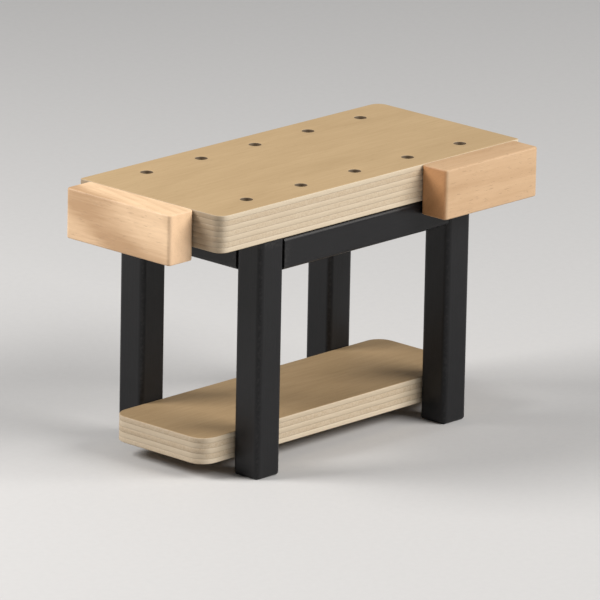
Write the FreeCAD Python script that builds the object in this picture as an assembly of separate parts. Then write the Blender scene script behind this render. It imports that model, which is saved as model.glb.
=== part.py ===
import FreeCAD, Part
import os

from FreeCAD import Vector

# Toy workbench in wood: a painted frame of square stock, a plywood top with two rows of dog holes,
# a solid wood jaw block at the left end and another at the right of the front edge, and a low
# plywood shelf between the front and rear legs.
# Millimetres, +Z up. X runs along the bench and -Y is the front. The origin is the centre of the
# bench's footprint box, on the ground under the legs.

# ---- Driving dimensions ----
STOCK = 7.4                   # square section of the legs and rails
STOCK_EDGE_RADIUS = 1.2       # rounding of the stock's long edges
LEG_HEIGHT = 53.2
LEG_FOOT_RADIUS = 0.7         # rounding round the bottom of each leg
FRAME_LENGTH = 67.2           # over the outer faces of the legs
FRAME_WIDTH = 42.6

TOP_LENGTH = 95.0
TOP_THICKNESS = 8.4
TOP_CORNER_RADIUS = 2.6       # the two free upright corners, front left and rear right
TOP_JOINED_RADIUS = 0.6       # the two upright corners beside a jaw block
TOP_LEFT_OVERHANG = 12.5      # past the outer face of the left legs
PLY_EDGE_RADIUS = 0.3         # easing of the plywood's upper and lower outlines

DOG_HOLE_COLUMNS = 5
DOG_HOLE_PITCH = 17.0
DOG_HOLE_FIRST = 14.3         # from the board's left end to the first column
DOG_HOLE_INSET = 6.3          # from the board's long edges to each row
DOG_HOLE_RADIUS = 1.4         # drilled right through; those over the frame end on it

JAW_THICKNESS = 7.4
JAW_HEIGHT = 11.3             # both jaws are level with the board's upper face
JAW_CORNER_RADIUS = 0.9       # the jaws' upright edges
JAW_EDGE_RADIUS = 0.4         # easing of the jaws' other edges
END_JAW_WIDTH = 31.2
END_JAW_SETBACK = 3.3         # its rear end stops this far short of the board's rear edge
FRONT_JAW_LENGTH = 30.0
FRONT_JAW_SETBACK = 2.0       # its right end stops this far short of the board's right end

SHELF_LENGTH = 85.7           # the same overhang past the legs at each end
SHELF_THICKNESS = 6.0
SHELF_UNDERSIDE = 3.5         # above the ground
SHELF_CORNER_RADIUS = 4.0

# Hidden joinery: plain glued dowels in blind holes, and four screws up through the long rails.
DOWEL_RADIUS = 1.0
DOWEL_GRIP = 3.0              # length of dowel in each of the two pieces
DOWEL_CHAMFER = 0.2
GLUE_GAP = 0.3                # the blind holes are this much deeper than the dowels reach
RAIL_DOWEL_STEP = 1.2         # long rails' dowels sit this far below mid-rail, end rails' above
JAW_DOWEL_SPACING = 16.0

SCREW_SPACING = 34.0          # along each long rail, centred on it
SCREW_LENGTH = 12.0
SCREW_RADIUS = 1.0
SCREW_HEAD_RADIUS = 2.0
SCREW_HEAD_HEIGHT = 1.2
SCREW_RECESS_WIDTH = 0.5
SCREW_RECESS_SPAN = 2.4
SCREW_RECESS_DEPTH = 0.7

# ---- Positions worked out from them ----
BENCH_LENGTH = TOP_LENGTH + JAW_THICKNESS
BENCH_WIDTH = FRAME_WIDTH + JAW_THICKNESS
TOP_LEFT = -BENCH_LENGTH / 2 + JAW_THICKNESS
TOP_RIGHT = TOP_LEFT + TOP_LENGTH
FRONT = -BENCH_WIDTH / 2 + JAW_THICKNESS      # front face of the board, legs and front rail
REAR = FRONT + FRAME_WIDTH
TOP_UNDERSIDE = LEG_HEIGHT
TOP_SURFACE = LEG_HEIGHT + TOP_THICKNESS
JAW_UNDERSIDE = TOP_SURFACE - JAW_HEIGHT
RAIL_UNDERSIDE = LEG_HEIGHT - STOCK
FRAME_LEFT = TOP_LEFT + TOP_LEFT_OVERHANG
FRAME_RIGHT = FRAME_LEFT + FRAME_LENGTH
FRAME_MID_X = (FRAME_LEFT + FRAME_RIGHT) / 2
FRONT_JAW_LEFT = TOP_RIGHT - FRONT_JAW_SETBACK - FRONT_JAW_LENGTH
FRONT_JAW_MID_X = FRONT_JAW_LEFT + FRONT_JAW_LENGTH / 2
END_JAW_FRONT = REAR - END_JAW_SETBACK - END_JAW_WIDTH
END_JAW_MID_Y = END_JAW_FRONT + END_JAW_WIDTH / 2

# Lower front left corner of each leg.
LEG_CORNERS = {
    "leg_front_left": (FRAME_LEFT, FRONT),
    "leg_front_right": (FRAME_RIGHT - STOCK, FRONT),
    "leg_rear_left": (FRAME_LEFT, REAR - STOCK),
    "leg_rear_right": (FRAME_RIGHT - STOCK, REAR - STOCK),
}

X_AXIS = Vector(1, 0, 0)
Y_AXIS = Vector(0, 1, 0)
Z_AXIS = Vector(0, 0, 1)


# ---- Shared shapes ----
def edges_along(solid, axis):
    """The straight edges of a solid that run along an axis."""
    chosen = []
    for edge in solid.Edges:
        if not isinstance(edge.Curve, Part.Line):
            continue
        if abs(abs(edge.tangentAt(edge.FirstParameter).dot(axis)) - 1) < 1e-6:
            chosen.append(edge)
    return chosen


def edges_at_height(solid, height):
    """The edges that lie wholly at one height."""
    chosen = []
    for edge in solid.Edges:
        box = edge.BoundBox
        if abs(box.ZMin - height) < 1e-4 and abs(box.ZMax - height) < 1e-4:
            chosen.append(edge)
    return chosen


def block(low, size):
    return Part.makeBox(size[0], size[1], size[2], Vector(*low))


def round_corner(solid, x, y, radius):
    """Round the one upright edge that stands at a point of the plan."""
    corner = [edge for edge in edges_along(solid, Z_AXIS)
              if abs(edge.CenterOfMass.x - x) < 1e-6 and abs(edge.CenterOfMass.y - y) < 1e-6]
    return solid.makeFillet(radius, corner)


def eased_outlines(solid, radius):
    """Ease the upper and lower outlines of a solid whose upright corners are already rounded."""
    box = solid.BoundBox
    for height in (box.ZMin, box.ZMax):
        solid = solid.makeFillet(radius, edges_at_height(solid, height))
    return solid


def eased_block(low, size, corner_radius, edge_radius):
    solid = block(low, size)
    solid = solid.makeFillet(corner_radius, edges_along(solid, Z_AXIS))
    return eased_outlines(solid, edge_radius)


def drill(solid, mouth, direction, radius, depth):
    """Cut a hole that starts at its mouth and goes into the solid along direction."""
    return solid.cut(Part.makeCylinder(radius, depth, mouth, direction))


# ---- Dowel joints ----
# Each joint is a point on the face where two pieces meet, the dowel's axis, and the two pieces.
# The axis points from the first piece into the second.
def rail_joints(rail, first_leg, second_leg, axis, height):
    first, second = (LEG_CORNERS[leg] for leg in (first_leg, second_leg))
    middle = STOCK / 2
    across = Vector(middle, middle, height) - axis * middle
    start = Vector(first[0], first[1], 0) + across + axis * STOCK
    end = Vector(second[0], second[1], 0) + across
    return [(start, axis, (first_leg, rail)), (end, axis, (rail, second_leg))]


def dowel_joints():
    """All the dowel joints, grouped by the node that holds their dowels."""
    mid_rail = RAIL_UNDERSIDE + STOCK / 2
    low = mid_rail - RAIL_DOWEL_STEP
    high = mid_rail + RAIL_DOWEL_STEP
    groups = {
        "front_rail_dowels": rail_joints("front_rail", "leg_front_left", "leg_front_right", X_AXIS, low),
        "rear_rail_dowels": rail_joints("rear_rail", "leg_rear_left", "leg_rear_right", X_AXIS, low),
        "left_rail_dowels": rail_joints("left_rail", "leg_front_left", "leg_rear_left", Y_AXIS, high),
        "right_rail_dowels": rail_joints("right_rail", "leg_front_right", "leg_rear_right", Y_AXIS, high),
        "shelf_dowels": [],
        "end_jaw_dowels": [],
        "front_jaw_dowels": [],
    }
    shelf_middle = SHELF_UNDERSIDE + SHELF_THICKNESS / 2
    for leg, (x, y) in LEG_CORNERS.items():
        if y == FRONT:
            point = Vector(x + STOCK / 2, y + STOCK, shelf_middle)
            groups["shelf_dowels"].append((point, Y_AXIS, (leg, "shelf")))
        else:
            point = Vector(x + STOCK / 2, y, shelf_middle)
            groups["shelf_dowels"].append((point, Y_AXIS, ("shelf", leg)))
    top_middle = TOP_UNDERSIDE + TOP_THICKNESS / 2
    for side in (-1, 1):
        offset = side * JAW_DOWEL_SPACING / 2
        point = Vector(TOP_LEFT, END_JAW_MID_Y + offset, top_middle)
        groups["end_jaw_dowels"].append((point, X_AXIS, ("end_jaw", "bench_top")))
        point = Vector(FRONT_JAW_MID_X + offset, FRONT, top_middle)
        groups["front_jaw_dowels"].append((point, Y_AXIS, ("front_jaw", "bench_top")))
    return groups


def make_dowel(point, axis):
    length = 2 * DOWEL_GRIP
    dowel = Part.makeCylinder(DOWEL_RADIUS, length, point - axis * DOWEL_GRIP, axis)
    rims = [edge for edge in dowel.Edges if isinstance(edge.Curve, Part.Circle)]
    return dowel.makeChamfer(DOWEL_CHAMFER, rims)


def drill_for_dowels(pieces, groups):
    depth = DOWEL_GRIP + GLUE_GAP
    for joints in groups.values():
        for point, axis, (first, second) in joints:
            pieces[first] = drill(pieces[first], point, -axis, DOWEL_RADIUS, depth)
            pieces[second] = drill(pieces[second], point, axis, DOWEL_RADIUS, depth)


# ---- Screws from the long rails up into the board ----
def screw_points():
    points = []
    for y in (FRONT + STOCK / 2, REAR - STOCK / 2):
        for side in (-1, 1):
            points.append(Vector(FRAME_MID_X + side * SCREW_SPACING / 2, y, RAIL_UNDERSIDE))
    return points


def screw_envelope(point):
    """Countersunk head and plain shank, as one solid standing on the head's flat face."""
    head = Part.makeCone(SCREW_HEAD_RADIUS, SCREW_RADIUS, SCREW_HEAD_HEIGHT, point, Z_AXIS)
    shank = Part.makeCylinder(SCREW_RADIUS, SCREW_LENGTH, point, Z_AXIS)
    return head.fuse(shank).removeSplitter()


def make_screw(point):
    screw = screw_envelope(point)
    half_span = SCREW_RECESS_SPAN / 2
    half_width = SCREW_RECESS_WIDTH / 2
    for half_x, half_y in ((half_span, half_width), (half_width, half_span)):
        slot = block((point.x - half_x, point.y - half_y, point.z),
                     (2 * half_x, 2 * half_y, SCREW_RECESS_DEPTH))
        screw = screw.cut(slot)
    return screw


# ---- Pieces ----
def make_leg(corner):
    leg = block((corner[0], corner[1], 0), (STOCK, STOCK, LEG_HEIGHT))
    leg = leg.makeFillet(STOCK_EDGE_RADIUS, edges_along(leg, Z_AXIS))
    return leg.makeFillet(LEG_FOOT_RADIUS, edges_at_height(leg, 0))


def make_rail(low, size, axis):
    rail = block(low, size)
    return rail.makeFillet(STOCK_EDGE_RADIUS, edges_along(rail, axis))


def long_rail(y):
    low = (FRAME_LEFT + STOCK, y, RAIL_UNDERSIDE)
    return make_rail(low, (FRAME_LENGTH - 2 * STOCK, STOCK, STOCK), X_AXIS)


def end_rail(x):
    low = (x, FRONT + STOCK, RAIL_UNDERSIDE)
    return make_rail(low, (STOCK, FRAME_WIDTH - 2 * STOCK, STOCK), Y_AXIS)


def make_bench_top():
    board = block((TOP_LEFT, FRONT, TOP_UNDERSIDE), (TOP_LENGTH, FRAME_WIDTH, TOP_THICKNESS))
    for x, y, radius in ((TOP_LEFT, FRONT, TOP_CORNER_RADIUS), (TOP_RIGHT, REAR, TOP_CORNER_RADIUS),
                         (TOP_RIGHT, FRONT, TOP_JOINED_RADIUS), (TOP_LEFT, REAR, TOP_JOINED_RADIUS)):
        board = round_corner(board, x, y, radius)
    board = eased_outlines(board, PLY_EDGE_RADIUS)
    for column in range(DOG_HOLE_COLUMNS):
        x = TOP_LEFT + DOG_HOLE_FIRST + column * DOG_HOLE_PITCH
        for y in (FRONT + DOG_HOLE_INSET, REAR - DOG_HOLE_INSET):
            board = drill(board, Vector(x, y, TOP_SURFACE), -Z_AXIS, DOG_HOLE_RADIUS, TOP_THICKNESS)
    return board


def make_shelf():
    low = (FRAME_MID_X - SHELF_LENGTH / 2, FRONT + STOCK, SHELF_UNDERSIDE)
    size = (SHELF_LENGTH, FRAME_WIDTH - 2 * STOCK, SHELF_THICKNESS)
    return eased_block(low, size, SHELF_CORNER_RADIUS, PLY_EDGE_RADIUS)


def make_pieces():
    pieces = {name: make_leg(corner) for name, corner in LEG_CORNERS.items()}
    pieces["front_rail"] = long_rail(FRONT)
    pieces["rear_rail"] = long_rail(REAR - STOCK)
    pieces["left_rail"] = end_rail(FRAME_LEFT)
    pieces["right_rail"] = end_rail(FRAME_RIGHT - STOCK)
    pieces["bench_top"] = make_bench_top()
    pieces["shelf"] = make_shelf()
    pieces["end_jaw"] = eased_block((TOP_LEFT - JAW_THICKNESS, END_JAW_FRONT, JAW_UNDERSIDE),
                                    (JAW_THICKNESS, END_JAW_WIDTH, JAW_HEIGHT),
                                    JAW_CORNER_RADIUS, JAW_EDGE_RADIUS)
    pieces["front_jaw"] = eased_block((FRONT_JAW_LEFT, FRONT - JAW_THICKNESS, JAW_UNDERSIDE),
                                      (FRONT_JAW_LENGTH, JAW_THICKNESS, JAW_HEIGHT),
                                      JAW_CORNER_RADIUS, JAW_EDGE_RADIUS)
    return pieces


def main():
    pieces = make_pieces()
    groups = dowel_joints()
    drill_for_dowels(pieces, groups)
    for name, joints in groups.items():
        pieces[name] = Part.makeCompound([make_dowel(point, axis) for point, axis, _ in joints])

    for point in screw_points():
        envelope = screw_envelope(point)
        for name in ("front_rail", "rear_rail", "bench_top"):
            pieces[name] = pieces[name].cut(envelope)
    pieces["top_screws"] = Part.makeCompound([make_screw(point) for point in screw_points()])

    os.makedirs("parts", exist_ok=True)
    for name, shape in pieces.items():
        box = shape.BoundBox
        print(f"{name:20s} solids {len(shape.Solids)}  valid {shape.isValid()}  volume {shape.Volume:9.2f}"
              f"  X {box.XMin:7.2f} {box.XMax:7.2f}  Y {box.YMin:7.2f} {box.YMax:7.2f}"
              f"  Z {box.ZMin:6.2f} {box.ZMax:6.2f}")
        shape.exportStep(f"parts/{name}.step")


main()
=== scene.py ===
import math

import bpy
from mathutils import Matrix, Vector
from mathutils.geometry import delaunay_2d_cdt


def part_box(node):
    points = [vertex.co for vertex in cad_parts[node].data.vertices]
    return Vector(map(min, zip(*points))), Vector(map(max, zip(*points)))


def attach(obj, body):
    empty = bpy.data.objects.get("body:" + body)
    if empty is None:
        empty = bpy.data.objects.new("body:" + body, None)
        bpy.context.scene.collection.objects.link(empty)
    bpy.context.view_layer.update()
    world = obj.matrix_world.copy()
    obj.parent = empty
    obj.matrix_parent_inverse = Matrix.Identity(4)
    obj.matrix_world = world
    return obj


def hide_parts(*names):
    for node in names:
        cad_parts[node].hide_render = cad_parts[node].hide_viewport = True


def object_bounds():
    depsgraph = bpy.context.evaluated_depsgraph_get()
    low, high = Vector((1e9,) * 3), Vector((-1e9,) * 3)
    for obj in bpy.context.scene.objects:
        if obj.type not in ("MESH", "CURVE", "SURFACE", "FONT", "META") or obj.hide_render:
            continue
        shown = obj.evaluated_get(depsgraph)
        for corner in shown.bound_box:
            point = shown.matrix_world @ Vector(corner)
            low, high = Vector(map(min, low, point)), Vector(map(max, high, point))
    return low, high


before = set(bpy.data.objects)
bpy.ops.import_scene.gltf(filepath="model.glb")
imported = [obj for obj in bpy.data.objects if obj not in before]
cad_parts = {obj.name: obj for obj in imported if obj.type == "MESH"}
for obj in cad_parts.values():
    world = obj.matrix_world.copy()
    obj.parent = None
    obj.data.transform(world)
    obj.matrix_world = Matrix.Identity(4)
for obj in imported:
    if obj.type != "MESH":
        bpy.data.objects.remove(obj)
cad_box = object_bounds()

MM = 0.001                        # the frame is in metres, and sizes are in mm where nothing else is said

# ---- Sizes of the wooden pieces, beyond what the frame's boxes give ----
TOP_PLIES = 7
SHELF_PLIES = 5
TOP_CORNER_RADIUS = 2.6
TOP_JOINED_RADIUS = 0.6           # the two board corners beside a jaw block
SHELF_CORNER_RADIUS = 4.0
BOARD_EASE = 0.3
JAW_ROUNDING = 0.9
JAW_EASE = 0.4
FRAME_ROUNDING = 1.2
FOOT_EASE = 0.7

HOLES_IN_ROW = 5
HOLE_RADIUS = 1.4
HOLE_PITCH = 17.0
FIRST_HOLE = 14.3                 # from the board's left end
HOLE_INSET = 6.3                  # from the board's long edges
HOLE_RIM = 0.15                   # radius of the rounding round a hole's mouth

GLUE_LINE = 0.05                  # how deep a glue line lies in a board's edge
SUNK_PLY = 0.03                   # how deep every second veneer lies there

# ---- How finely the pieces are meshed ----
SUPPORT = 0.12                    # from a rounding to the ring of vertices that keeps the flat beside it flat
ARC_STEPS = 7
EASE_STEPS = 5
RIM_STEPS = 4
HOLE_SIDES = 32
SPACING = 2.0
CAP_SPACING = 2.5
JAW_SPACING = 1.0
JAW_CAP_SPACING = 1.5
CAP_MARGIN = 0.25                 # least distance from a cap's outline to a point inside it
HOLE_MARGIN = 0.4                 # the same from a hole's rim, as a share of the cap's spacing
TINY = 1e-4                       # a length that counts as none
MERGED = 1e-7                     # points closer than this are one point to the triangulation
SHARP_ANGLE = math.radians(42)
WORN_BAND = 0.9                   # width of the strip beside an arris where paint may be worn
BORE_BAND = 0.02                  # how far past its radius a hole still counts as wall

# ---- Camera and studio, in metres and watts ----
CAMERA_OFFSET = Vector((-1.219, -1.141, 0.485))
CAMERA_LENS = 476.0
CAMERA_ROLL = math.radians(1.12)
CAMERA_CLIP = (0.05, 20.0)
FLOOR_HALF_WIDTH = 8.0
SKY_COLOUR = (0.93, 0.96, 1.0, 1.0)
SKY_STRENGTH = 0.17
LAMP_COLOUR = (1.0, 0.97, 0.93)

# ---- Colours. Tones are a light one and a dark one ----
# The end jaw's tones are paler than the front jaw's: partly paler wood, partly painted light for its brightly
# lit outer face and front end.
END_JAW_TONES_WITH_PAINTED_LIGHT = (0.83, 0.59, 0.375), (0.46, 0.285, 0.155)
END_JAW_END_TONES_WITH_PAINTED_LIGHT = (0.80, 0.55, 0.345), (0.62, 0.42, 0.25)
FRONT_JAW_TONES = (0.565, 0.38, 0.225), (0.41, 0.25, 0.13)
# The front jaw's end tones are darker end grain and also painted shade for its left end in the corner against
# the board.
FRONT_JAW_SHADED_END_TONES = (0.47, 0.22, 0.085), (0.34, 0.155, 0.055)
DOWEL_TONES = (0.60, 0.42, 0.26), (0.42, 0.27, 0.15)
DOWEL_END_TONES = (0.50, 0.34, 0.20), (0.36, 0.23, 0.13)
TOP_TONES = (0.47, 0.335, 0.185), (0.34, 0.23, 0.115)
# The shelf is the top's plywood made darker: painted shade for its place under the board.
SHADED_SHELF_TONES = (0.33, 0.23, 0.125), (0.22, 0.145, 0.07)
PLY_EDGE_TONES = (0.58, 0.49, 0.365), (0.425, 0.32, 0.21)
PAINT_TONES = (0.0105, 0.0105, 0.0124), (0.0045, 0.0045, 0.0054)
STEEL_TONES = (0.70, 0.71, 0.73), (0.48, 0.49, 0.52)
FLOOR_TONES = (0.58, 0.58, 0.585), (0.54, 0.54, 0.545)
# Painted shade for the inside of the dog holes.
HOLE_WALL_PAINTED_SHADE = (0.085, 0.05, 0.024)
WORN_PAINT = (0.055, 0.052, 0.050)


# ---- Node materials ----
class Graph:
    """A node material being built. A value is a number, a tuple, or the output of an earlier node."""

    def __init__(self, name):
        self.material = bpy.data.materials.new(name)
        self.material.use_nodes = True
        self.tree = self.material.node_tree
        self.shader = self.tree.nodes["Principled BSDF"]

    def put(self, socket, value):
        if isinstance(value, bpy.types.NodeSocket):
            self.tree.links.new(value, socket)
        elif socket.type == "RGBA":
            socket.default_value = (*value, 1.0)
        else:
            socket.default_value = value

    def node(self, kind, inputs, output=0, **settings):
        node = self.tree.nodes.new("ShaderNode" + kind)
        for key, value in settings.items():
            setattr(node, key, value)
        for key, value in inputs.items():
            self.put(node.inputs[key], value)
        return node.outputs[output]

    def math(self, operation, *values):
        return self.node("Math", dict(enumerate(values)), operation=operation)

    def plus(self, a, b):
        return self.math("ADD", a, b)

    def minus(self, a, b):
        return self.math("SUBTRACT", a, b)

    def times(self, a, b):
        return self.math("MULTIPLY", a, b)

    def magnitude(self, value):
        return self.math("ABSOLUTE", value)

    def clamp(self, value):
        return self.node("Clamp", {0: value})

    def split(self, vector):
        node = self.tree.nodes.new("ShaderNodeSeparateXYZ")
        self.put(node.inputs[0], vector)
        return list(node.outputs)

    def join(self, x, y, z):
        return self.node("CombineXYZ", {0: x, 1: y, 2: z})

    def scaled(self, vector, scale):
        """The vector times a number, or times three numbers."""
        factors = scale if isinstance(scale, tuple) else (scale,) * 3
        return self.node("VectorMath", {0: vector, 1: factors}, operation="MULTIPLY")

    def stretched(self, parts, lengthwise, crosswise):
        """Noise coordinates for a figure drawn out along the grain, from (along, across, other) parts."""
        along, across, other = parts
        return self.join(self.times(along, lengthwise), self.times(across, crosswise),
                         self.times(other, crosswise))

    def millimetres(self):
        """The point's place in the frame, in millimetres."""
        return self.scaled(self.node("TexCoord", {}, 3), 1000)

    def normal(self):
        return self.node("NewGeometry", {}, 1)

    def attribute(self, name):
        return self.node("Attribute", {}, 2, attribute_name=name)

    def noise(self, vector, scale=1.0, detail=2.0, roughness=0.5, distortion=0.0):
        return self.node("TexNoise", {"Vector": vector, "Scale": scale, "Detail": detail,
                                      "Roughness": roughness, "Distortion": distortion})

    def steps(self, value, low, high, start=0.0, end=1.0):
        """A smooth step from start to end as value goes from low to high."""
        return self.node("MapRange", {"Value": value, "From Min": low, "From Max": high, "To Min": start,
                                      "To Max": end}, interpolation_type="SMOOTHSTEP")

    def blend(self, factor, a, b):
        return self.node("Mix", {0: factor, 6: a, 7: b}, 2, data_type="RGBA")

    def bump(self, height, distance):
        """A normal for a relief that is distance high, in metres."""
        return self.node("Bump", {"Height": height, "Distance": distance, "Strength": 1.0})

    def finish(self, **sockets):
        for name, value in sockets.items():
            self.put(self.shader.inputs[name.replace("_", " ")], value)
        return self.material


def darker(colour, share):
    return tuple(share * part for part in colour)


def grain_parts(graph, point, axis):
    """The point's coordinates with the one along the grain first."""
    parts = graph.split(point)
    first = "XYZ".index(axis)
    return parts[first], parts[(first + 1) % 3], parts[(first + 2) % 3]


def end_grain(graph, axis):
    """1 where the surface cuts across the fibres, 0 where it runs along them."""
    facing = graph.magnitude(graph.split(graph.normal())["XYZ".index(axis)])
    return graph.steps(facing, 0.45, 0.95)


def growth_rings(g, parts, pith, slope, ring, wander):
    """0 in pale early wood to 1 in dark late wood, round a centre line that drifts along the grain. Each ring
    darkens slowly outwards and ends more sharply, with finer lines all through it."""
    along, across, other = parts
    stray = g.noise(g.stretched(parts, 0.05, 0.11), detail=3.0, roughness=0.55)
    offset = g.times(g.minus(stray, 0.5), 2 * wander)
    first = g.plus(g.minus(across, pith[0]), g.times(along, slope[0]))
    second = g.plus(g.minus(other, pith[1]), g.times(along, slope[1]))
    distance = g.math("SQRT", g.plus(g.times(first, first), g.times(second, second)))
    radius = g.plus(distance, offset)
    phase = g.math("FRACT", g.math("DIVIDE", radius, ring))
    late = g.times(g.steps(phase, 0.56, 0.75), g.steps(phase, 0.88, 0.78, 0.45, 1.0))
    finer = g.math("FRACT", g.math("DIVIDE", radius, ring / 8))
    lines = g.times(g.steps(finer, 0.2, 0.8), g.steps(finer, 1.0, 0.85))
    return g.math("MAXIMUM", late, g.times(lines, 0.22))


def beech(name, axis, pith, slope, ring, wander, contrast, tones, end_tones):
    """Solid beech. pith is where the rings' centre line crosses, in mm, and slope is its drift along the
    grain. ring and wander are the rings' spacing and how far they stray, in mm."""
    g = Graph(name)
    light, dark = tones
    point = g.millimetres()
    parts = grain_parts(g, point, axis)
    late = growth_rings(g, parts, pith, slope, ring, wander)
    fibre = g.noise(g.stretched(parts, 0.10, 1.7), detail=4.0, roughness=0.62)
    fleck = g.steps(g.noise(g.stretched(parts, 0.55, 4.5), detail=1.0, roughness=0.4), 0.66, 0.74)
    cloud = g.noise(g.stretched(parts, 0.07, 0.16))
    pores = g.steps(g.noise(g.scaled(point, 3.4), roughness=0.6), 0.5, 0.72)
    share = g.plus(g.times(late, contrast), g.times(g.minus(fibre, 0.35), 0.7))
    share = g.plus(share, g.times(g.minus(cloud, 0.5), 0.8))
    colour = g.blend(g.clamp(share), light, dark)
    colour = g.blend(g.times(fleck, 0.30), colour, darker(dark, 0.62))
    ends = g.blend(g.plus(g.times(pores, 0.5), g.times(late, 0.3)), *end_tones)
    colour = g.blend(g.times(end_grain(g, axis), 0.85), colour, ends)
    relief = g.minus(g.times(fibre, 0.6), g.times(fleck, 0.5))
    rough = g.plus(0.43, g.times(fibre, 0.16))
    return g.finish(Base_Color=colour, Roughness=rough, Normal=g.bump(relief, 0.00004), IOR=1.45)


def plywood(name, underside, plies, thickness, face_tones, end_grain_and_painted_shade):
    """Birch plywood of an odd number of veneers, each as thick as thickness, in mm. They lie in Z from the
    underside, and the two outer ones' grain is along X. The last argument is how far the two ends are
    darkened, partly as end grain and partly as painted shade."""
    g = Graph(name)
    light, dark = face_tones
    edge_dark = PLY_EDGE_TONES[1]
    point = g.millimetres()
    x, y, z = g.split(point)

    # Which veneer the point is in, and the glue lines between veneers
    sway = g.noise(g.scaled(point, (0.09, 0.09, 0.0)))
    level = g.math("DIVIDE", g.minus(z, underside), thickness)
    swayed = g.plus(level, g.times(g.minus(sway, 0.5), 0.10))
    ply = g.math("MINIMUM", g.math("MAXIMUM", g.math("FLOOR", swayed), 0.0), plies - 1.0)
    cross = g.math("MODULO", ply, 2.0)
    lengthwise = g.minus(1.0, cross)
    within = g.minus(swayed, ply)
    inner = g.times(g.steps(swayed, 0.35, 0.6), g.steps(swayed, plies - 0.35, plies - 0.6))
    wood = g.times(g.steps(within, 0.0, 0.10), g.steps(within, 1.0, 0.90))
    glue = g.times(g.minus(1.0, wood), inner)
    tint = g.node("TexWhiteNoise", {"W": g.plus(ply, underside)}, noise_dimensions="1D")

    # The veneers' fibres
    along = g.plus(g.times(x, lengthwise), g.times(y, cross))
    across = g.plus(g.times(y, lengthwise), g.times(x, cross))
    deep = g.plus(g.times(ply, 7.3), g.times(z, 1.4))
    fibre = g.noise(g.join(g.times(along, 0.10), g.times(across, 1.25), deep), detail=4.0, roughness=0.62)
    figure = g.noise(g.join(g.times(along, 0.022), g.times(across, 0.10), g.times(deep, 0.3)),
                     detail=3.0, roughness=0.55, distortion=0.8)
    fleck = g.steps(g.noise(g.join(g.times(along, 0.6), g.times(across, 4.2), deep), detail=1.0,
                            roughness=0.4), 0.68, 0.75)
    pores = g.steps(g.noise(g.scaled(point, 3.2), roughness=0.6), 0.42, 0.70)
    streaks = g.times(g.minus(fibre, 0.3), 0.8)

    # The two broad faces
    face = g.blend(g.clamp(g.plus(streaks, g.times(g.minus(figure, 0.45), 0.8))), light, dark)
    face = g.blend(g.times(fleck, 0.28), face, darker(dark, 0.6))

    # The edges, with end grain on every veneer that they cut across
    facing_x, facing_y, facing_z = (g.magnitude(part) for part in g.split(g.normal()))
    end = g.steps(g.plus(g.times(facing_x, lengthwise), g.times(facing_y, cross)), 0.3, 0.9)
    edge_share = g.plus(streaks, g.times(end, g.plus(0.22, g.times(pores, 0.4))))
    edge_share = g.plus(edge_share, g.times(g.minus(tint, 0.5), 0.3))
    edge = g.blend(g.clamp(edge_share), *PLY_EDGE_TONES)
    # The X-facing ends are darkened further: partly end grain, partly painted shade for the top's left end
    # beside the end jaw.
    edge = g.blend(g.times(g.steps(facing_x, 0.4, 0.95), end_grain_and_painted_shade), edge, darker(edge_dark, 0.62))
    edge = g.blend(g.times(glue, 0.45), edge, darker(edge_dark, 0.5))

    colour = g.blend(g.steps(facing_z, 0.5, 0.9), edge, face)
    # The hole walls are painted dark: painted shade inside the holes.
    colour = g.blend(g.times(g.attribute("bore_shade_mask"), 0.85), colour, HOLE_WALL_PAINTED_SHADE)
    relief = g.minus(g.times(fibre, 0.6), g.times(glue, 0.5))
    rough = g.plus(0.46, g.times(fibre, 0.18))
    return g.finish(Base_Color=colour, Roughness=rough, Normal=g.bump(relief, 0.00004), IOR=1.45)


def paint(name, axis):
    """Satin paint on planed wood, thin enough for the grain to show through as a faint texture."""
    g = Graph(name)
    light, dark = PAINT_TONES
    point = g.millimetres()
    grain = g.noise(g.stretched(grain_parts(g, point, axis), 0.12, 2.0), detail=3.0, roughness=0.6)
    brushed = g.noise(g.scaled(point, 0.35), detail=3.0, roughness=0.6)
    peel = g.noise(g.scaled(point, 2.6), detail=1.0)
    chips = g.noise(g.scaled(point, 1.5), detail=4.0, roughness=0.65)
    worn = g.times(g.attribute("edge"), g.steps(chips, 0.42, 0.70))
    tone = g.plus(g.times(g.minus(brushed, 0.35), 0.7), g.times(g.minus(grain, 0.4), 0.5))
    colour = g.blend(g.clamp(tone), dark, light)
    colour = g.blend(g.times(worn, 0.55), colour, WORN_PAINT)
    rough = g.plus(0.32, g.plus(g.times(brushed, 0.12), g.times(worn, 0.12)))
    relief = g.plus(g.times(grain, 0.7), g.times(peel, 0.35))
    return g.finish(Base_Color=colour, Roughness=rough, Normal=g.bump(relief, 0.00003), IOR=1.5,
                    Specular_IOR_Level=0.28)


def steel(name):
    g = Graph(name)
    scuffs = g.noise(g.scaled(g.millimetres(), (1.2, 1.2, 5.0)), detail=4.0, roughness=0.6)
    rough = g.plus(0.22, g.times(scuffs, 0.25))
    return g.finish(Base_Color=g.blend(scuffs, *STEEL_TONES), Roughness=rough, Metallic=1.0,
                    Normal=g.bump(scuffs, 0.00001))


def backdrop_paper(name):
    g = Graph(name)
    fibres = g.noise(g.millimetres(), scale=0.6, detail=4.0, roughness=0.6)
    return g.finish(Base_Color=g.blend(fibres, *FLOOR_TONES), Roughness=0.62, Normal=g.bump(fibres, 0.00002))


# ---- Meshes ----
def between(length, spacing):
    """Even places along a length, without its ends, that lie beside a support place near each end."""
    if length < 3 * SUPPORT:
        return [length / 2] if length > TINY else []
    inner = length - 2 * SUPPORT
    count = max(1, round(inner / spacing))
    return [SUPPORT + inner * k / count for k in range(count + 1)]


def quarter_turn(steps):
    return [math.pi / 2 * k / steps for k in range(steps + 1)]


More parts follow.
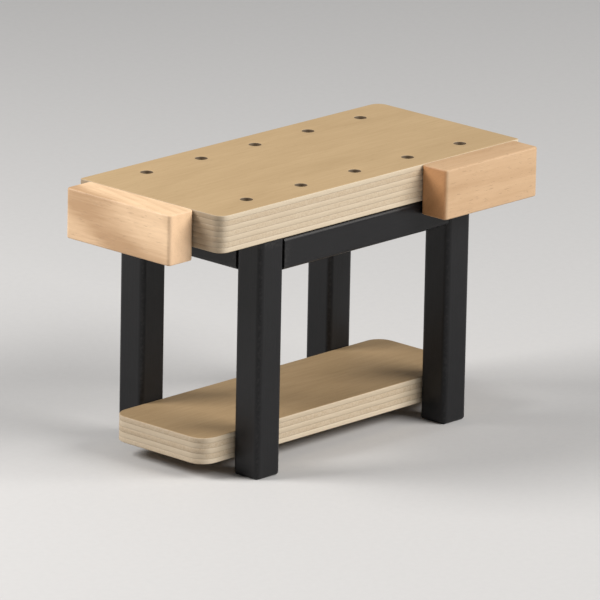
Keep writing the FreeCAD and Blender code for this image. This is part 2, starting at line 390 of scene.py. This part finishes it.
def rounded_rectangle(low, high, radii, spacing):
    """Anticlockwise (x, y, outward x, outward y) points. The radii are for the corners (low, low),
    (high, low), (high, high) and (low, high)."""
    corners = ((low[0], low[1], 1, 1), (high[0], low[1], -1, 1),
               (high[0], high[1], -1, -1), (low[0], high[1], 1, -1))
    arcs = []
    for turn, ((x, y, inward_x, inward_y), radius) in enumerate(zip(corners, radii)):
        start = math.pi * (1 + turn / 2)
        arcs.append([(x + radius * (inward_x + math.cos(a)), y + radius * (inward_y + math.sin(a)),
                      math.cos(a), math.sin(a))
                     for a in (start + step for step in quarter_turn(ARC_STEPS))])
    points = []
    for arc, following in zip(arcs, arcs[1:] + arcs[:1]):
        points += arc
        begin, end = Vector(arc[-1][:2]), Vector(following[0][:2])
        length = (end - begin).length
        points += [(*begin.lerp(end, place / length), *arc[-1][2:]) for place in between(length, spacing)]
    return points


def eased_end(radius):
    """(distance from the end, inset) pairs round one end's easing, from the cap to the sides."""
    if not radius:
        return [(0.0, 0.0)]
    return ([(0.0, radius + SUPPORT)]
            + [(radius * (1 - math.cos(a)), radius * (1 - math.sin(a))) for a in quarter_turn(EASE_STEPS)])


def inside(point, outline):
    """Is the point well inside a convex outline that runs anticlockwise?"""
    for a, b in zip(outline, outline[1:] + outline[:1]):
        side = Vector(b) - Vector(a)
        if side.length > TINY and side.normalized().cross(point - Vector(a)) < CAP_MARGIN:
            return False
    return True


def cap(outline, holes, spacing):
    """Triangles that fill an outline except for round holes, as (2-D points added, triangles).
    A hole is its ring of points, its centre and its radius. The triangles' indices run over the outline, then
    each hole's ring, then the points added."""
    rings = [outline] + [ring for ring, _, _ in holes]
    points = [Vector(p) for ring in rings for p in ring]
    edges = []
    start = 0
    for ring in rings:
        edges += [(start + i, start + (i + 1) % len(ring)) for i in range(len(ring))]
        start += len(ring)
    xs, ys = [p[0] for p in outline], [p[1] for p in outline]
    left, bottom = min(xs), min(ys)
    width, height = max(xs) - left, max(ys) - bottom
    columns, rows = (max(2, round(size / spacing)) for size in (width, height))
    added = []
    for i in range(1, columns):
        for j in range(1, rows):
            p = Vector((left + width * i / columns, bottom + height * j / rows))
            clear = all((p - centre).length > radius + HOLE_MARGIN * spacing for _, centre, radius in holes)
            if clear and inside(p, outline):
                added.append(p)
    ring_of = [number for number, ring in enumerate(rings) for _ in ring] + [0] * len(added)
    _, _, faces, origin, _, _ = delaunay_2d_cdt(points + added, edges, [], 1, MERGED)
    triangles = []
    for face in faces:
        corners = [origin[i][0] for i in face]
        owners = {ring_of[i] for i in corners}
        if owners == {0} or len(owners) > 1:      # three corners on one hole's ring span that hole
            triangles.append(corners)
    return added, triangles


class Shell:
    """A piece's vertices and faces. The third coordinate is along the direction that it is drawn out in."""

    def __init__(self, outline, rings, base):
        """rings are (distance from the base, inset) pairs, from one end of the piece to the other."""
        self.count = len(outline)
        self.last_ring = (len(rings) - 1) * self.count
        self.vertices = []
        self.faces = []
        for place, inset in rings:
            self.vertices += [(x - nx * inset, y - ny * inset, base + place) for x, y, nx, ny in outline]
        for ring in range(0, self.last_ring, self.count):
            for i in range(self.count):
                a, b = ring + i, ring + (i + 1) % self.count
                self.faces.append((a, b, b + self.count, a + self.count))

    def hole_rings(self, centre, z, direction):
        """Adds the rings round a hole's rim and returns each one's first index, from the cap inwards."""
        starts = []
        for a in quarter_turn(RIM_STEPS):
            radius = HOLE_RADIUS + HOLE_RIM * (1 - math.sin(a))
            height = z - direction * HOLE_RIM * (1 - math.cos(a))
            starts.append(len(self.vertices))
            turns = [2 * math.pi * k / HOLE_SIDES for k in range(HOLE_SIDES)]
            self.vertices += [(centre[0] + radius * math.cos(t), centre[1] + radius * math.sin(t), height)
                              for t in turns]
        return starts

    def close_end(self, z, direction, holes, spacing):
        """Fills one end round its holes and returns the first indices of each hole's rings."""
        base = 0 if direction < 0 else self.last_ring
        outline = [self.vertices[base + i][:2] for i in range(self.count)]
        index_of = list(range(base, base + self.count))
        starts, loops = [], []
        for centre in holes:
            rings = self.hole_rings(centre, z, direction)
            starts.append(rings)
            loop = [self.vertices[rings[0] + k][:2] for k in range(HOLE_SIDES)]
            loops.append((loop, Vector(centre), HOLE_RADIUS + HOLE_RIM))
            index_of += range(rings[0], rings[0] + HOLE_SIDES)
        added, triangles = cap(outline, loops, spacing)
        index_of += range(len(self.vertices), len(self.vertices) + len(added))
        self.vertices += [(p.x, p.y, z) for p in added]
        for triangle in triangles:
            triangle = [index_of[i] for i in triangle]
            self.faces.append(triangle if direction > 0 else triangle[::-1])
        return starts

    def hole_wall(self, below, above):
        """Joins a hole's rings, down one rim, along the wall and up the other rim."""
        chain = below + above[::-1]
        for a, b in zip(chain, chain[1:]):
            self.faces += [(a + k, b + k, b + (k + 1) % HOLE_SIDES, a + (k + 1) % HOLE_SIDES)
                           for k in range(HOLE_SIDES)]


def write_attribute(mesh, name, values):
    attribute = mesh.attributes.new(name, "FLOAT", "POINT")
    for item, value in zip(attribute.data, values):
        item.value = value


def prism(name, node, axis, radii, eases, material, spacing=SPACING, cap_spacing=CAP_SPACING,
          relief=None, holes=()):
    """One wooden piece in the place of a CAD node: a rounded rectangle drawn out along an axis, with both of
    its end outlines eased. relief is a list of (place, inset) rings in place of evenly spaced ones."""
    low, high = (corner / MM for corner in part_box(node))
    first = "XYZ".index(axis)
    order = [(first + 1) % 3, (first + 2) % 3, first]
    low, high = ([corner[i] for i in order] for corner in (low, high))
    length = high[2] - low[2]
    outline = rounded_rectangle(low[:2], high[:2], radii, spacing)
    body = [(place + eases[0], 0.0) for place in between(length - sum(eases), spacing)]
    rings = (eased_end(eases[0]) + (relief or body)
             + [(length - place, inset) for place, inset in reversed(eased_end(eases[1]))])
    shell = Shell(outline, rings, low[2])
    starts_below = shell.close_end(low[2], -1, holes, cap_spacing)
    starts_above = shell.close_end(high[2], 1, holes, cap_spacing)
    for below, above in zip(starts_below, starts_above):
        shell.hole_wall(below, above)

    places = [[0.0, 0.0, 0.0] for _ in shell.vertices]
    for place, vertex in zip(places, shell.vertices):
        for i, value in zip(order, vertex):
            place[i] = value * MM
    mesh = bpy.data.meshes.new(name)
    mesh.from_pydata(places, [], shell.faces)
    mesh.validate()
    arris_gaps = [sorted(min(v - a, b - v) for v, a, b in zip(vertex, low, high))[1]
                  for vertex in shell.vertices]
    write_attribute(mesh, "edge", [max(0.0, 1.0 - gap / WORN_BAND) for gap in arris_gaps])
    # Marks the hole walls for their painted shade.
    if holes:
        reach = HOLE_RADIUS + BORE_BAND
        write_attribute(mesh, "bore_shade_mask", [float(any(math.dist(vertex[:2], centre) < reach for centre in holes))
                                       for vertex in shell.vertices])
    mesh.shade_smooth()
    mesh.set_sharp_from_angle(angle=SHARP_ANGLE)
    mesh.materials.append(material)
    piece = bpy.data.objects.new(name, mesh)
    bpy.context.scene.collection.objects.link(piece)
    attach(piece, "root")
    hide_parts(node)


def ply_relief(plies, thickness):
    """Rings that sink the glue lines, and every second veneer's end grain, a little into a board's edge.
    A place is a share of a veneer's thickness."""
    top = plies * thickness
    lowest = BOARD_EASE + SUPPORT
    rings = []
    for ply in range(plies):
        sunk = SUNK_PLY if ply % 2 else 0.0
        for place, inset in ((0.03, GLUE_LINE), (0.10, sunk), (0.5, sunk), (0.90, sunk), (0.97, GLUE_LINE)):
            height = (ply + place) * thickness
            if lowest < height < top - lowest:
                rings.append((height, inset))
    return [(lowest, 0.0)] + rings + [(top - lowest, 0.0)]


# ---- The bench ----
def make_board(name, node, material_name, plies, radii, face_tones, end_grain_and_painted_shade, holes=()):
    low, high = (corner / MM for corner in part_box(node))
    thickness = (high.z - low.z) / plies
    material = plywood(material_name, low.z, plies, thickness, face_tones, end_grain_and_painted_shade)
    prism(name, node, "Z", radii, (BOARD_EASE, BOARD_EASE), material,
          relief=ply_relief(plies, thickness), holes=holes)


def make_boards():
    low, high = (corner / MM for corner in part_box("bench_top"))
    holes = [(low.x + FIRST_HOLE + HOLE_PITCH * i, y)
             for i in range(HOLES_IN_ROW) for y in (low.y + HOLE_INSET, high.y - HOLE_INSET)]
    # The top's darker ends carry painted shade.
    make_board("worktop_board", "bench_top", "plywood_top", TOP_PLIES,
               (TOP_CORNER_RADIUS, TOP_JOINED_RADIUS) * 2, TOP_TONES, end_grain_and_painted_shade=0.75, holes=holes)
    # The shelf's darker tones are painted shade.
    make_board("shelf_board", "shelf", "plywood_shelf", SHELF_PLIES, (SHELF_CORNER_RADIUS,) * 4, SHADED_SHELF_TONES,
               end_grain_and_painted_shade=0.25)


def make_jaws():
    """The end jaw shows one broad dark arc on its outer face. The front jaw is straight-grained."""
    end_jaw = beech("beech_end_jaw", axis="Y", pith=(61.25, -38.95), slope=(0.0, -0.25), ring=21.5,
                    wander=0.9, contrast=0.85, tones=END_JAW_TONES_WITH_PAINTED_LIGHT, end_tones=END_JAW_END_TONES_WITH_PAINTED_LIGHT)
    front_jaw = beech("beech_front_jaw", axis="X", pith=(-60.0, 20.0), slope=(0.02, 0.0), ring=7.6,
                      wander=0.5, contrast=0.3, tones=FRONT_JAW_TONES, end_tones=FRONT_JAW_SHADED_END_TONES)
    for jaw, material in (("end_jaw", end_jaw), ("front_jaw", front_jaw)):
        prism(jaw + "_block", jaw, "Z", (JAW_ROUNDING,) * 4, (JAW_EASE, JAW_EASE), material,
              spacing=JAW_SPACING, cap_spacing=JAW_CAP_SPACING)


def make_stand():
    upright = paint("paint_on_legs", "Z")
    lengthwise = paint("paint_on_long_rails", "X")
    crosswise = paint("paint_on_end_rails", "Y")
    rounding = (FRAME_ROUNDING,) * 4
    for leg in ("front_left", "front_right", "rear_left", "rear_right"):
        prism("painted_leg_" + leg, "leg_" + leg, "Z", rounding, (FOOT_EASE, 0.0), upright)
    for rail, axis, material in (("front", "X", lengthwise), ("rear", "X", lengthwise),
                                 ("left", "Y", crosswise), ("right", "Y", crosswise)):
        prism("painted_rail_" + rail, rail + "_rail", axis, rounding, (0.0, 0.0), material)


def make_joinery():
    """The dowels and screws keep their CAD shapes and get materials."""
    dowel = beech("beech_dowel", axis="X", pith=(0.0, 0.0), slope=(0.0, 0.0), ring=2.0, wander=0.3,
                  contrast=0.4, tones=DOWEL_TONES, end_tones=DOWEL_END_TONES)
    zinc = steel("zinc_plated_steel")
    for name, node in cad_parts.items():
        if name.endswith("_dowels") or name == "top_screws":
            for slot in node.material_slots:
                slot.material = zinc if name == "top_screws" else dowel


# ---- The studio ----
def middle_of_bench():
    return (cad_box[0] + cad_box[1]) / 2


def aim(item, point):
    item.rotation_euler = (Vector(point) - item.location).to_track_quat("-Z", "Y").to_euler()


def make_camera():
    camera = bpy.data.objects.new("camera", bpy.data.cameras.new("camera"))
    camera.data.lens = CAMERA_LENS
    camera.data.clip_start, camera.data.clip_end = CAMERA_CLIP
    camera.location = middle_of_bench() + CAMERA_OFFSET
    aim(camera, middle_of_bench())
    camera.rotation_euler.rotate_axis("Z", CAMERA_ROLL)
    bpy.context.scene.collection.objects.link(camera)
    bpy.context.scene.camera = camera


def softbox(name, position, size, watts):
    light = bpy.data.lights.new(name, "AREA")
    light.shape = "RECTANGLE"
    light.size, light.size_y = size
    light.energy = watts
    light.color = LAMP_COLOUR
    item = bpy.data.objects.new(name, light)
    item.location = position
    aim(item, middle_of_bench())
    bpy.context.scene.collection.objects.link(item)


def make_studio():
    mesh = bpy.data.meshes.new("studio_floor")
    far = FLOOR_HALF_WIDTH
    mesh.from_pydata([(-far, -far, 0), (far, -far, 0), (far, far, 0), (-far, far, 0)], [], [(0, 1, 2, 3)])
    mesh.materials.append(backdrop_paper("studio_floor"))
    floor = bpy.data.objects.new("studio_floor", mesh)
    bpy.context.scene.collection.objects.link(floor)
    world = bpy.data.worlds.new("studio_world")
    world.use_nodes = True
    background = world.node_tree.nodes["Background"]
    background.inputs["Color"].default_value = SKY_COLOUR
    background.inputs["Strength"].default_value = SKY_STRENGTH
    bpy.context.scene.world = world
    softbox("key_front", position=(0.42, -0.82, 0.66), size=(0.80, 0.50), watts=15.5)
    softbox("fill_left_back", position=(-0.36, 0.28, 0.37), size=(0.25, 0.25), watts=3.4)
    bpy.context.scene.view_settings.view_transform = "Standard"


make_camera()
make_boards()
make_jaws()
make_stand()
make_joinery()
make_studio()
